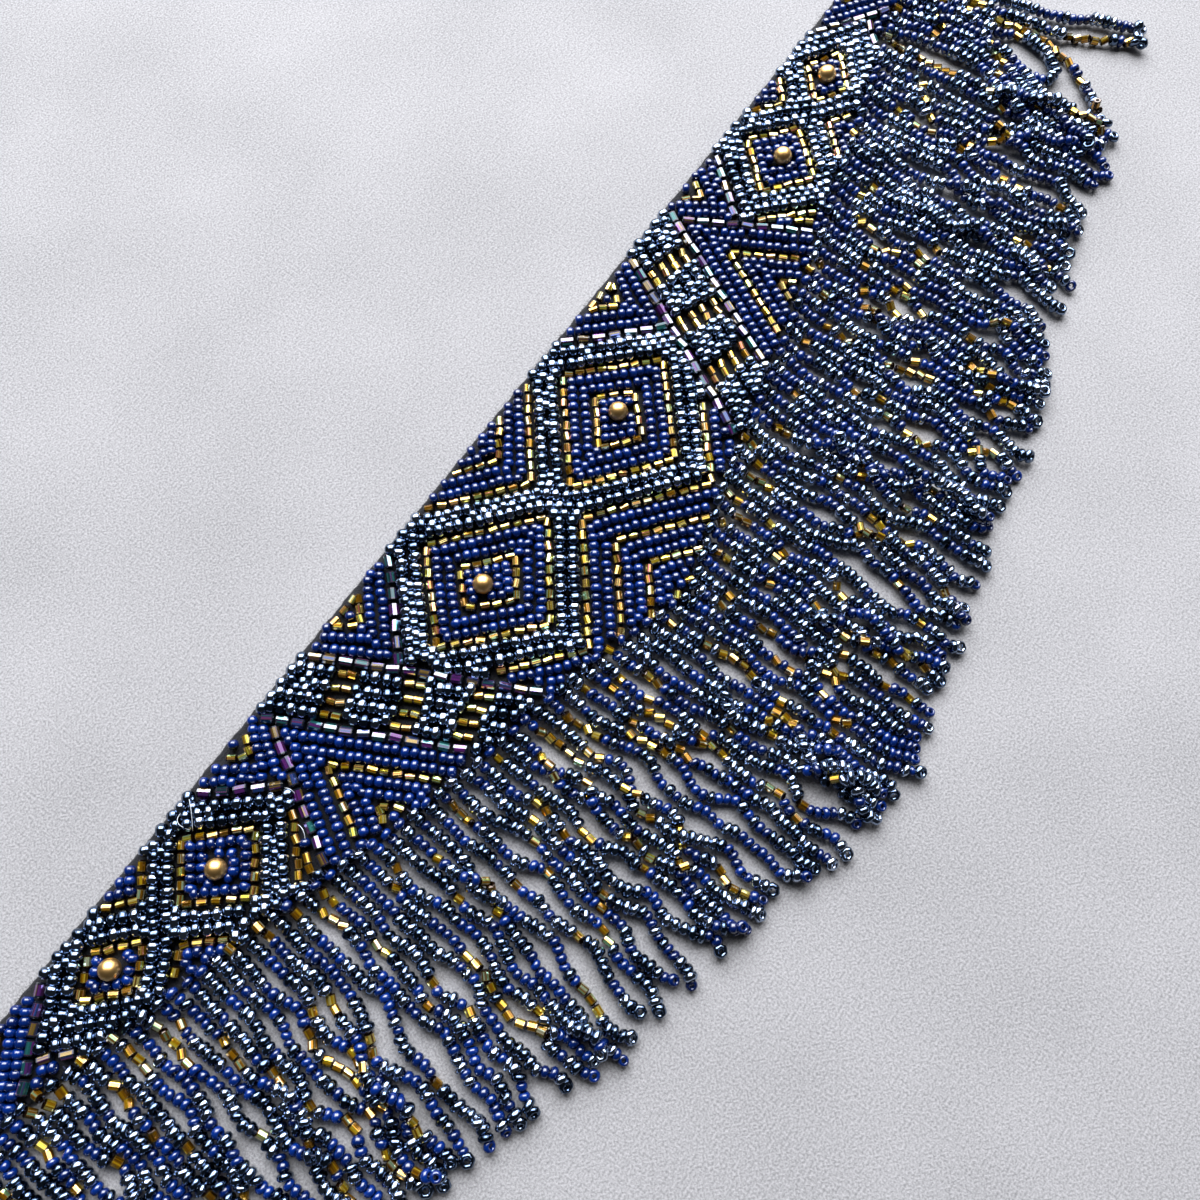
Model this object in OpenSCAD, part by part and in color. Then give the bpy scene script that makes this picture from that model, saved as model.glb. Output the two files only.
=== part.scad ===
// A beaded choker laid out flat: a felt band covered with seed beads in diamonds and chevrons,
// a fringe of bead strands along its lower edge, and a hook and an eye at its ends.
// Origin: on the felt's underside, on the middle line, half way down the band where it is deepest.

/* [Band] */
// Length of the felt band from end to end
band_length = 330; // [326:1:334]
// Depth of the band at its middle
band_depth = 55; // [54.5:0.1:55.5]
// Thickness of the felt
felt_thickness = 1.5; // [1.2:0.1:2]
// Bare felt that shows along the top edge
bare_edge = 1; // [0.6:0.1:1.4]
// Bare felt at each end, where the clasp is sewn on
bare_end = 8; // [7.5:0.1:9]

/* [Beads] */
// Height of the seed beads above the felt
bead_height = 2; // [1.8:0.1:2.4]
// Width of the square cut tubes that draw the lines
tube_width = 1.6; // [1.2:0.1:1.8]
// Diameter of the round gold beads
ball_diameter = 4; // [3.6:0.1:4.2]

/* [Fringe] */
// Number of strands
strand_count = 110; // [100:2:114]
// Distance from one strand to the next
strand_pitch = 2.9; // [2.7:0.05:2.95]
// Diameter of a strand
strand_diameter = 2.1; // [1.9:0.05:2.2]
// Usual length of a strand
strand_length = 55; // [50:0.5:58]
// How much the strands differ in length
strand_spread = 4; // [0:0.5:5]
// How far the strands at the ends of the band lean outwards
end_lean = 6; // [0:0.5:7]

/* [Clasp] */
// Radius of the eye's hole
eye_hole_r = 2.5; // [2.2:0.1:2.8]
// Width of the metal round the eye and the hook
clasp_rim = 1.6; // [1.4:0.1:1.8]
// Thickness of the clasp's sheet metal
clasp_thickness = 1.2; // [1:0.1:1.4]
// Gap through which the hook lets the eye in
hook_gap = 2; // [1.8:0.1:2.4]

/* [Hidden] */
$fn = 48;

clearance = 0.15;
half_band = band_length / 2;
half_field = half_band - bare_end;
// The chart below is measured down from the top edge, which lies this far behind the origin
top_y = band_depth / 2;

// Lower edge of the band: distance from the middle line, depth below the top edge
EDGE = [
    [0, band_depth], [22, 47.5], [50, 41.5], [67, 37], [94, 28.5],
    [118, 21.5], [145, 13.5], [half_band, 11.5]
];

// Gold balls on the right half: distance from the middle line, depth below the top edge
BALLS = [[22.7, 20.9], [93.9, 14.5], [117.9, 10.7]];

// Diamonds on the right half, corner by corner: upper, inner, lower, outer
DIAMONDS = [
    [[22.9, 6.6], [3.8, 22.6], [21.3, 36.3], [38, 21.3]],
    [[22.7, 15], [14.2, 22.3], [21.2, 28], [28.6, 20.8]],
    [[93.7, 5.6], [84.3, 15.4], [93.8, 23], [102.6, 13.2]],
    [[118.4, 5.6], [111, 12.2], [118, 16.3], [125.4, 9.7]]
];

// Lines of gold tubes on the right half, each from corner to corner
GOLD_LINES = [
    [[0, 7.3], [8, 1.4]],
    [[0, 15.7], [17.3, 1.4]],
    [[0, 28.4], [21.3, 45.3], [35, 33.4]],
    [[0, 36.6], [15.4, 49]],
    [[0, 44.6], [9, 51.6]],
    [[38.5, 2], [43, 6.4], [46.8, 2], [38.5, 2]],
    [[57.3, 38], [67.5, 18.2], [75, 31.6]],
    [[65.4, 35.4], [67.8, 31], [69.8, 34]],
    [[72.4, 2.2], [75, 5.8], [78, 2.2]],
    [[77.6, 18.6], [87, 28]],
    [[100.6, 2], [106.3, 6.8], [111.6, 2]],
    [[101.8, 24.2], [108, 17.7], [113, 21]],
    [[137.6, 2], [142, 5.2], [146.4, 2]]
];

// Lines of dark iridescent tubes on the right half, each from corner to corner
IRIS_LINES = [
    [[28.6, 1.6], [45.2, 18]],
    [[53.8, 2], [32.8, 43.4]],
    [[68.2, 2.2], [50, 38.4]],
    [[68, 5.4], [82.2, 30.2]],
    [[86, 2], [75.2, 14.8]],
    [[126.6, 2], [142.6, 12.4]],
    [[137, 10.2], [131.4, 15.4]]
];

function below(p) = [p.x, top_y - p.y];
function depth_at(x) = lookup(abs(x), EDGE);
// A repeatable number from 0 to 1 for strand i
function chance(i) = let (v = 100 * sin(97 * i)) v - floor(v);
function strand_x(i) = (i - (strand_count - 1) / 2) * strand_pitch;
function lean_at(x) = end_lean * sign(x) * pow(x / half_band, 2);
function length_of(i) = strand_length + strand_spread * (chance(i) - 0.5);

// Outline of the band out to half_l on each side, with its top edge lowered and its lower edge raised
module band_outline(half_l, top_inset, low_inset) {
    right = [for (e = EDGE) if (e.x < half_l) [e.x, top_y - e.y + low_inset]];
    corner = [half_l, top_y - depth_at(half_l) + low_inset];
    left = [for (i = [len(right) - 1 : -1 : 1]) [-right[i].x, right[i].y]];
    polygon(concat(
        right, [corner, [half_l, top_y - top_inset], [-half_l, top_y - top_inset], [-corner.x, corner.y]], left
    ));
}

// Straight bar of width w from a to b, with square ends that close its corners
module bar(a, b, w) {
    d = b - a;
    translate(a) rotate(atan2(d.y, d.x)) translate([-w / 2, -w / 2]) square([norm(d) + w, w]);
}

module chain(points, w) {
    for (i = [0 : len(points) - 2]) bar(below(points[i]), below(points[i + 1]), w);
}

module both_sides() {
    children();
    mirror([1, 0]) children();
}

// Every line of tubes, in plan
module line_outline(w) {
    both_sides() {
        for (d = DIAMONDS) chain(concat(d, [d[0]]), w);
        for (l = GOLD_LINES) chain(l, w);
        for (l = IRIS_LINES) chain(l, w);
    }
}

module felt_band() {
    color("black") linear_extrude(felt_thickness) band_outline(half_band, 0, 0);
}

module bead_field() {
    color("midnightblue") translate([0, 0, felt_thickness + clearance]) linear_extrude(bead_height)
        difference() {
            band_outline(half_field, bare_edge, 0.4);
            line_outline(tube_width + 2 * clearance);
            both_sides() for (b = BALLS) translate(below(b)) circle(d = ball_diameter + 4 * clearance);
        }
}

module tube_lines() {
    color("goldenrod") translate([0, 0, felt_thickness + clearance]) linear_extrude(bead_height)
        intersection() {
            band_outline(half_field, bare_edge, 0.4);
            line_outline(tube_width);
        }
}

// Ball k of 6, counted from left to right
module gold_ball(k) {
    b = k > 3 ? BALLS[k - 4] : BALLS[3 - k];
    side = k > 3 ? 1 : -1;
    color("darkgoldenrod")
        translate([side * b.x, top_y - b.y, felt_thickness + clearance + ball_diameter / 2])
            sphere(d = ball_diameter);
}

// One strand, from under the head out to its free end, lying on the ground
module strand(i) {
    x = strand_x(i);
    start = [x, top_y - depth_at(x) - clearance - 0.6];
    end = [x + lean_at(x), start.y - length_of(i)];
    d = end - start;
    translate([start.x, start.y, strand_diameter / 2]) rotate(atan2(d.y, d.x)) rotate([0, 90, 0])
        cylinder(d = strand_diameter, h = norm(d));
}

// Strip of threads along the lower edge, from which the strands hang
module fringe_head() {
    head_depth = 1.4;
    reach = strand_x(strand_count - 1) + strand_diameter / 2;
    upper = [for (e = EDGE) if (e.x < reach) [e.x, top_y - e.y - clearance]];
    corner = [reach, top_y - depth_at(reach) - clearance];
    edge = concat([for (i = [len(upper) - 1 : -1 : 1]) [-upper[i].x, upper[i].y]], upper);
    line = concat([[-corner.x, corner.y]], edge, [corner]);
    lower = [for (i = [len(line) - 1 : -1 : 0]) [line[i].x, line[i].y - head_depth]];
    translate([0, 0, 0.3]) linear_extrude(felt_thickness - 0.3) polygon(concat(line, lower));
}

module fringe() {
    color("darkslategray") union() {
        fringe_head();
        for (i = [0 : strand_count - 1]) strand(i);
    }
}

// Tab that is sewn on the felt, and a ring past the felt's end with a hole of radius r
module clasp_plate(r) {
    ring_r = r + clasp_rim;
    ring_x = half_band + ring_r + 0.6;
    tab_x = half_band - bare_end + 1.2;
    difference() {
        union() {
            translate([tab_x, -3]) square([ring_x - tab_x, 6]);
            translate([ring_x, 0]) circle(r = ring_r);
        }
        translate([ring_x, 0]) circle(r = r);
    }
}

module clasp_place() {
    translate([0, top_y - 6, felt_thickness + clearance]) children();
}

module clasp_eye() {
    color("darkkhaki") clasp_place() linear_extrude(clasp_thickness) clasp_plate(eye_hole_r);
}

module clasp_hook() {
    hook_r = 2.2;
    color("darkkhaki") clasp_place() mirror([1, 0, 0]) linear_extrude(clasp_thickness) difference() {
        clasp_plate(hook_r);
        translate([half_band + hook_r + clasp_rim + 0.6, 0]) rotate(40) translate([0, -hook_gap / 2])
            square([2 * hook_r + clasp_rim, hook_gap]);
    }
}

felt_band();
bead_field();
tube_lines();
gold_ball(1);  // gold_ball_1
gold_ball(2);  // gold_ball_2
gold_ball(3);  // gold_ball_3
gold_ball(4);  // gold_ball_4
gold_ball(5);  // gold_ball_5
gold_ball(6);  // gold_ball_6
fringe();
clasp_hook();
clasp_eye();
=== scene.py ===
"""Looks of a beaded choker that lies flat on a pale floor.

Seed beads and cut glass tubes are sewn in diamonds and chevrons on a black felt band, and strands of
loose beads hang from its lower edge. Everything is worked out in millimetres on the band's own chart,
where a place is its distance from the middle line and its depth below the top edge, and goes into its
mesh in metres.
"""
import math

import bpy
import numpy as np
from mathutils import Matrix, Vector


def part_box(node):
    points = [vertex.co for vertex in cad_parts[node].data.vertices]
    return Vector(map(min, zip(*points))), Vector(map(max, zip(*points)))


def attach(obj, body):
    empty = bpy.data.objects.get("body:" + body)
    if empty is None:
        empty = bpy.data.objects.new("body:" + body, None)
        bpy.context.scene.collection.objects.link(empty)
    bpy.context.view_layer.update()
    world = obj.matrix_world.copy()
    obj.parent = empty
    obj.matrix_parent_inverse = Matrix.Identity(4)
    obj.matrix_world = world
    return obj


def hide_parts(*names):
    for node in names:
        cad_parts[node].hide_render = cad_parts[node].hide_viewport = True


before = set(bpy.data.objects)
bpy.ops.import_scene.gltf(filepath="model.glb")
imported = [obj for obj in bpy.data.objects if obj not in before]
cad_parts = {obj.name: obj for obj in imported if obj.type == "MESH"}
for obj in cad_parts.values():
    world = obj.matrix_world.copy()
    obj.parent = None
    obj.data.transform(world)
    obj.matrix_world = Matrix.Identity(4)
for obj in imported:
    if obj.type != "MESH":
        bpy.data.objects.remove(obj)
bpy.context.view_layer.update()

MM = 0.001
TURN = 2 * math.pi
rng = np.random.default_rng(29)

# Sizes read from the frame
felt_low, felt_high = (np.array(corner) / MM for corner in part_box("felt_band"))
HALF_BAND = felt_high[0]
TOP_Y = felt_high[1]
FELT_TOP = felt_high[2]
BAND_DEPTH = TOP_Y - felt_low[1]
HALF_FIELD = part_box("bead_field")[1].x / MM

# Seed beads and tubes, in millimetres
BLUE_WIDTH = 2.15
GUNMETAL_WIDTH = 2.7
BLUE_LENGTH = 1.7
GUNMETAL_LENGTH = 1.94
PITCHES = {"blue": 1.76, "gunmetal": 2.03}
RING_PITCH = 1.82
GOLD_WIDTH = 1.42
GOLD_LENGTH = 2.1
GOLD_PITCH = 2.4
IRIS_WIDTH = 1.9
IRIS_LENGTH = 2.7
IRIS_PITCH = 3.2
# Tubes sit as high on the felt as beads of this width would
GOLD_SEAT = GOLD_WIDTH + 0.4
IRIS_SEAT = IRIS_WIDTH + 0.2
# How far sewn things stray at random, in place and in slope, and how far they stand off the felt
STRAY = 0.08

# Fringe, in millimetres: the strands are as many as the solid's, and as far apart
STRAND_COUNT = 110
STRAND_PITCH = 2.9
STRAND_LENGTH = 55
STRAND_SPREAD = 3
STRAND_BEADS = 44
STRING_BLUE_WIDTH = 2.3
STRING_GUNMETAL_WIDTH = 2.8
STRING_SEED = 1.47
STRING_TUBE = 2.08
STRING_TUBE_WIDTH = 1.7
STRING_SLACK = 0.05
# The widest bead is at most this many times as wide as its kind
SIZE_MARGIN = 1.17
# The strands begin over the felt's edge: this far inside it and over it, and every second one higher
ROOT_INSET = 0.2
ROOT_HEIGHT = 1.35
ROOT_STAGGER = 0.5
THREAD_RADIUS = 0.15
CLEAR_THREAD_RADIUS = 0.07
# With its waves, a strand is this many times as long as its straight way
WAVY = 1.012
# Waves in which the strands bunch: size, turn from strand to strand, start, and turn along the strand
BUNCHES = ((2.3, 1.27, 1, 2.2), (2, 0.62, 0, -2.8))
# Waves in which each strand wanders by itself: length and size
WANDERS = ((41, 1.5), (23, 1.9), (13, 1.3), (7, 0.35))
# Blue beads, gunmetal beads and gold tubes on strands: their shares, and the chance of one more alike
STRING_SHARES = (0.37, 0.51, 0.12)
REPEATS = np.array([0.25, 0.3, 0.36])
# The last beads that a strand has room for, which are never gold tubes
PLAIN_END = 12
# How far a bead leans away from its thread, as the slope of its axis
LEAN = 0.24

# How the strands settle: the passes, and in each of them how far a strand sinks, what share of its
# unevenness is eased, how often its beads are spaced, how many strands and beads away two may meet, and
# how far the floor holds them off
PASSES = 150
SINK = 0.06
EASE = 0.12
SPACINGS = 3
NEAR_STRANDS = 5
NEAR_BEADS = 8
FLOOR_GAP = 0.06

# Felt: rings along it, points across each face and round each edge, and hairs that stand out
FELT_RINGS = 331
FELT_ACROSS = 8
FELT_ROUND = 7
FELT_HAIRS = 1500

FLOOR_REACH = 2000
# Both lights stand in this direction from the band
WINDOW_WAY = (0.57, 0.46, 0.68)

# Lower edge of the band: distance from the middle line, depth below the top edge
EDGE = np.array([
    (0, BAND_DEPTH), (22, 47.5), (50, 41.5), (67, 37), (94, 28.5),
    (118, 21.5), (145, 13.5), (HALF_BAND, 11.5),
])

# Round gold beads on the right half: distance from the middle line, depth below the top edge
BALLS = [(22.7, 20.9), (93.9, 14.5), (117.9, 10.7)]

# Diamonds on the right half, corner by corner: upper, inner, lower, outer, upper
BIG_DIAMOND = [(22.9, 6.6), (3.8, 22.6), (21.3, 36.3), (38, 21.3), (22.9, 6.6)]
BIG_RING = [(22.7, 15), (14.2, 22.3), (21.2, 28), (28.6, 20.8), (22.7, 15)]
MIDDLE_DIAMOND = [(93.7, 5.6), (84.3, 15.4), (93.8, 23), (102.6, 13.2), (93.7, 5.6)]
SMALL_DIAMOND = [(118.4, 5.6), (111, 12.2), (118, 16.3), (125.4, 9.7), (118.4, 5.6)]

# Lines of gold tubes on the right half
GOLD_LINES = [
    BIG_DIAMOND, BIG_RING, MIDDLE_DIAMOND, SMALL_DIAMOND,
    [(0, 7.3), (8, 1.4)],
    [(0, 15.7), (17.3, 1.4)],
    [(0, 28.4), (21.3, 45.3), (35, 33.4)],
    [(0, 36.6), (15.4, 49)],
    [(0, 44.6), (9, 51.6)],
    [(0.6, 52), (3.4, 54)],
    [(38.5, 2), (43, 6.4), (46.8, 2), (38.5, 2)],
    [(57.3, 38), (67.5, 18.2), (75, 31.6)],
    [(65.4, 35.4), (67.8, 31), (69.8, 34)],
    [(72.4, 2.2), (75, 5.8), (78, 2.2)],
    [(77.6, 18.6), (87, 28)],
    [(82.4, 25.4), (84.6, 28.8)],
    [(100.6, 2), (106.3, 6.8), (111.6, 2)],
    [(101.8, 24.2), (108, 17.7), (113, 21)],
    [(137.6, 2), (142, 5.2), (146.4, 2)],
]

# Lines of dark iridescent tubes on the right half
IRIS_LINES = [
    [(28.6, 1.6), (45.2, 18)],
    [(53.8, 2), (32.8, 43.4)],
    [(68.2, 2.2), (50, 38.4)],
    [(68, 5.4), (82.2, 30.2)],
    [(86, 2), (75.2, 14.8)],
    [(126.6, 2), (142.6, 12.4)],
    [(137, 10.2), (131.4, 15.4)],
]

# The slanted strip has four rows, each broken by three pairs of gold tubes: the strip's two sides, and
# the depths of the pairs row by row on the right half and on the left
SLANTED_SIDES = ([(54.8, 0), (31.8, 45.4)], [(69.3, 0), (48, 42.4)])
RIGHT_PAIRS = [(9, 20, 31.7), (9.4, 21.3, 32.6), (10, 22.3, 33), (11, 23.3, 33.6)]
LEFT_PAIRS = [(10.6, 22.4, 34.4), (11.4, 24, 34.8), (12.2, 25, 35.2), (13, 25.3, 36)]
PAIR_LENGTH = 4.0
PAIR_GAP = 0.1


def inset(diamond, distance):
    """The diamond drawn in by that distance on every side.

    Each corner moves by distance * (a + b) / |a x b|, where a and b point from it to its neighbours."""
    corners = np.array(diamond[:-1], float)
    a = np.roll(corners, -1, axis=0) - corners
    b = np.roll(corners, 1, axis=0) - corners
    a /= np.linalg.norm(a, axis=1, keepdims=True)
    b /= np.linalg.norm(b, axis=1, keepdims=True)
    corners = corners + distance * (a + b) / np.abs(a[:, :1] * b[:, 1:] - a[:, 1:] * b[:, :1])
    return np.vstack([corners, corners[:1]])


# Closed rows of blue beads inside the diamonds
RINGS = [
    inset(BIG_DIAMOND, 1.75), inset(BIG_DIAMOND, 4.15), inset(BIG_RING, 1.6),
    inset(MIDDLE_DIAMOND, 1.7), inset(MIDDLE_DIAMOND, 3.85), inset(SMALL_DIAMOND, 1.65),
]

# The gunmetal strip that runs right across the middle line: its two sides, and how many rows
CROSSING = (
    [(-17.3, 1.4), (0, 15.7), (3.8, 22.6), (21.3, 36.3)],
    [(-22.9, 6.6), (-3.8, 22.6), (0, 28.4), (21.3, 45.3)],
    2,
)

# Strips of bead rows: the beads, how many rows, and the two sides that the rows are spaced between
STRIPS = [
    ("blue", 2, [(0, 7.3), (9.9, 0)], [(0, 1), (1.4, 0)]),
    ("blue", 2, [(0, 7.3), (9.9, 0)], [(0, 15.7), (19, 0)]),
    ("gunmetal", 2, [(0, 15.7), (17.3, 1.4)], [(3.8, 22.6), (22.9, 6.6)]),
    ("gunmetal", 2, [(3.8, 22.6), (21.3, 36.3)], [(0, 28.4), (21.3, 45.3)]),
    ("gunmetal", 2, [(16.1, 0), (38, 21.3), (21.3, 36.3)], [(27, 0), (48.7, 21.5), (21.3, 45.3)]),
    ("blue", 2, [(0, 28.4), (24, 47.4)], [(0, 36.6), (22, 54.3)]),
    ("blue", 2, [(0, 36.6), (20, 52.7)], [(0, 44.6), (14, 55.8)]),
    ("blue", 2, [(0, 44.6), (12, 54)], [(0, 52.4), (5, 56.3)]),
    ("blue", 2, [(21.3, 45.3), (35, 33.4)], [(25.5, 50.1), (39.2, 38.2)]),
    ("blue", 2, [(27, 0), (45.5, 18.3), (54.8, 0)], [(36.5, 0), (43, 6.4), (48.5, 0)]),
    ("blue", 2, [(48, 42.4), (68.1, 3), (85, 35)], [(55.2, 42), (67.5, 18.2), (79, 38.7)]),
    ("blue", 2, [(55.2, 42), (67.5, 18.2), (79, 38.7)], [(61.9, 42), (67.8, 31), (72.5, 39)]),
    ("blue", 2, [(65.5, 1), (75.4, 16.5), (87.7, 0)], [(70.9, 0.5), (75, 5.8), (79.5, 0)]),
    ("gunmetal", 2, [(87.7, 0), (74.6, 15.6), (90, 31)], [(95.5, 3.7), (84.3, 15.4), (97, 25.6)]),
    (
        "gunmetal", 2,
        [(98.2, 0), (106.3, 6.8), (111, 12.2), (118, 16.3)],
        [(93.7, 5.6), (102.6, 13.2), (108, 17.7), (113, 21)],
    ),
    ("gunmetal", 2, [(102.6, 13.2), (93.8, 23)], [(108, 17.7), (101.8, 24.2)]),
    ("blue", 1, [(98.2, 0), (106.3, 6.8), (114, 0)], [(104.5, 0), (106.2, 1.6), (108, 0)]),
    ("gunmetal", 2, [(106.3, 6.8), (114, 0)], [(111, 12.2), (118.4, 5.6)]),
    ("blue", 2, [(101.8, 24.2), (108, 17.7), (117, 23.6)], [(104, 28.5), (108.5, 24.5), (113.5, 28)]),
    ("gunmetal", 2, [(110, 0.7), (125.4, 9.7)], [(123.5, 0), (137.9, 9.4)]),
    ("gunmetal", 3, [(125.4, 9.7), (114, 19.9)], [(137.9, 9.4), (126, 20.5)]),
    ("blue", 2, [(123.5, 0), (149, 16.6)], [(134.8, 0), (156, 15.4)]),
    ("blue", 2, [(138.6, 8.8), (131.4, 15.4)], [(140.7, 14.2), (135.1, 19.4)]),
    ("blue", 2, [(142, 5.2), (149.4, 0)], [(148.5, 9.5), (162, 0)]),
    ("gunmetal", 2, [(148.5, 9.5), (162, 0)], [(154, 13), (172, 0)]),
]

# Radius of the room that each thing takes on the chart, less in rings and tight places
SEED_ROOM = 0.82
RING_ROOM = 0.78
TIGHT_ROOM = 0.74
GOLD_ROOM = 0.72
IRIS_ROOM = 0.85
BALL_ROOM = 1.85
ROOT_ROOM = 0.95
# A tube takes its room at each of these distances along it
GOLD_REACHES = (-0.6, 0, 0.6)
IRIS_REACHES = (-0.8, 0, 0.8)
# How far things stay away from the band's top edge and from its lower edge
SEED_MARGINS = (1.5, 0.7)
GOLD_MARGINS = (1, 1)
IRIS_MARGINS = (1, 1.2)
# Holes are looked for at places this far apart, in so many batches
HOLE_STEP = 0.35
BATCHES = 60

# How far the strands' free ends drift sideways, by the distance of their roots from the middle line
DRIFT = np.array([
    (-165, -6), (-118, -9), (-100, -10.5), (-88, -10), (-75, -8), (-60, -5), (-45, -2), (-30, 1.5),
    (-12, 3), (0, 0), (12, -1), (20, 1), (45, 2), (75, 3), (100, 2.5), (118, 4), (130, 4), (145, 3),
    (165, 5),
])

# Depth that the free ends reach, by their distance from the middle line
TIPS = np.array([
    (-170, 66), (-130, 76), (-100, 83), (-90, 88), (-82, 90), (-75, 93), (-68, 93.5), (-60, 95.5),
    (-50, 99), (-36, 101), (-30, 104), (-25, 106), (-18, 108.5), (-13, 110.5), (-7, 110), (0, 108),
    (8, 105.5), (20, 103.5), (35, 101.5), (43, 96.5), (61, 95.5), (73, 92.5), (85, 87.5), (96, 83),
    (104, 79), (113, 78), (133, 75), (170, 68),
])

# Strands that lie in loose curls at the right end: strand number, then places that it passes
CURLS = {
    100: [(133.5, 24), (134.5, 30), (135.3, 36), (136, 42), (137, 48), (138.5, 54), (139, 60), (139, 70)],
    101: [
        (136.3, 23), (136, 29), (136.6, 35), (136.3, 41), (138.2, 47), (139.5, 53), (142, 58),
        (143.5, 71),
    ],
    102: [
        (140.8, 21), (141.8, 27), (143, 33), (143.5, 38), (141.3, 42.3), (139, 46), (137, 51), (136, 68),
    ],
    103: [
        (144, 20), (145.3, 26), (144.8, 32), (144.3, 36.5),
        (143, 40.5), (141, 45), (139.5, 49), (140.5, 66),
    ],
    104: [
        (147.5, 19), (149, 25), (149.6, 31), (149.6, 37), (148, 42), (144.5, 46.3), (141, 50),
        (139, 54.5), (137, 68),
    ],
    105: [
        (148, 21), (148.3, 28), (147.8, 34), (148.8, 39),
        (147.3, 43.5), (144, 48), (141.5, 52.5), (143.5, 68),
    ],
    106: [
        (151.5, 21), (152.3, 27), (152.5, 32), (153, 37), (155, 40), (155.8, 43.5), (153.8, 48.3),
        (150, 51.5), (146.5, 51.7), (143, 50), (138, 50),
    ],
    107: [
        (154, 21), (155, 28), (156.8, 35), (157.8, 41),
        (157.4, 47), (155.5, 53.5), (152, 58.5), (147.5, 64.5),
    ],
    108: [
        (156, 20), (156.5, 28), (157.5, 35), (159.3, 41), (160.6, 48), (163.5, 54), (166, 58), (169, 63),
    ],
    109: [
        (158.5, 20), (159.5, 28), (162, 35), (164, 42), (166, 48), (169, 52), (170.8, 57), (173, 62),
    ],
}

# Loose ends of clear thread on the left half: three places that shape each, with heights over the felt
LOOSE_ENDS = [
    [(-86.9, 1.6, 2.2), (-88.4, 4.6, 3.6), (-91.3, 6.5, 2)],
    [(-90, 2.6, 2), (-92.6, 2.8, 3.4), (-91.4, 6.1, 2.2)],
    [(-75.4, 15.2, 2.2), (-74.6, 16.6, 3), (-75.3, 17.5, 1.8)],
    [(-79.1, 21.4, 2), (-78.8, 23.2, 3), (-80.6, 24.4, 2)],
]


def depth_at(x):
    """Depth of the band at a distance from its middle line, on either side."""
    return np.interp(np.abs(x), EDGE[:, 0], EDGE[:, 1])


def strand_roots():
    """Where the strands begin, as distances from the middle line."""
    return (np.arange(STRAND_COUNT) - (STRAND_COUNT - 1) / 2) * STRAND_PITCH


def stretch(start, end, pitch):
    """Things on a straight stretch, evenly spaced by about one pitch.

    Each thing is a row of the place and the direction: x, depth, dx, ddepth."""
    start, end = np.array(start, float), np.array(end, float)
    reach = np.linalg.norm(end - start)
    count = max(round(reach / pitch), 1)
    share = (np.arange(count) + 0.5) / count
    places = start + share[:, None] * (end - start)
    return np.hstack([places, np.tile((end - start) / reach, (count, 1))])


def tubes_along(line, pitch):
    """Tubes on each straight stretch of a line in turn, so that none lies across a corner."""
    return np.vstack([stretch(a, b, pitch) for a, b in zip(line, line[1:])])


def seeds_along(line, pitch, closed=False):
    """Seed beads evenly spaced along a line, round its corners too.

    Bead i of n lies at share (i + 1/2) / n of the way, or i / n on a closed line, and points from the
    place half a pitch before it to the place half a pitch after it."""
    line = np.array(line, float)
    way = np.concatenate([[0], np.cumsum(np.linalg.norm(np.diff(line, axis=0), axis=1))])
    count = max(round(way[-1] / pitch), 1)
    at = (np.arange(count) + (0 if closed else 0.5)) * way[-1] / count

    def place(s):
        s = s % way[-1] if closed else np.clip(s, 0, way[-1])
        return np.stack([np.interp(s, way, line[:, 0]), np.interp(s, way, line[:, 1])], axis=1)

    ahead = place(at + pitch / 2) - place(at - pitch / 2)
    return np.hstack([place(at), ahead / np.linalg.norm(ahead, axis=1, keepdims=True)])


def mirrored(things, side):
    """The things on the right half (side 1), or their mirror image on the left (side -1)."""
    return things * np.array([side, 1, side, 1])


def rows_between(one_side, other_side, count):
    """Lines spaced between two sides of a strip: row k lies at share (k + 0.85) / (count + 0.7) across.

    That leaves room for the tubes that run along both sides."""
    one, other = np.array(one_side, float), np.array(other_side, float)
    shares = (np.arange(count) + 0.85) / (count + 0.7)
    return [one + share * (other - one) for share in shares]


def slanted_strip(pairs, side):
    """The slanted strip on one half: its gold pairs, and the gunmetal beads between them."""
    gold, seeds = [], []
    for (start, end), depths in zip(rows_between(*SLANTED_SIDES, len(pairs)), pairs):
        ahead = (end - start) / np.linalg.norm(end - start)
        marks = [start + (end - start) * (depth - start[1]) / (end[1] - start[1]) for depth in depths]
        half = PAIR_LENGTH / 2 * ahead
        gold += [mirrored(stretch(mark - half, mark + half, PAIR_LENGTH / 2), side) for mark in marks]
        breaks = [mark + s * (PAIR_LENGTH / 2 + PAIR_GAP) * ahead for mark in marks for s in (-1, 1)]
        stops = [start, *breaks, end]
        for a, b in zip(stops[::2], stops[1::2]):
            seeds.append(mirrored(stretch(a, b, PITCHES["gunmetal"]), side))
    return np.vstack(gold), np.vstack(seeds)


def on_field(things, margins):
    """Which things lie on the beaded field, by those margins from the band's top and lower edges."""
    x, depth = things[:, 0], things[:, 1]
    return (depth > margins[0]) & (depth < depth_at(x) - margins[1]) & (np.abs(x) < HALF_FIELD)


def clear_of(things, room, taken):
    """Which things, with that room on every side, lie clear of each (x, depth, room) already taken."""
    gaps = np.linalg.norm(things[:, None, :2] - taken[None, :, :2], axis=2)
    return (gaps - taken[None, :, 2] - room).min(axis=1) > 0


def room_of(things, room, reaches=(0,)):
    """Rows of (x, depth, room) that the things take, at these distances along each of them."""
    places = np.vstack([things[:, :2] + reach * things[:, 2:] for reach in reaches])
    return np.hstack([places, np.full((len(places), 1), room)])


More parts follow.
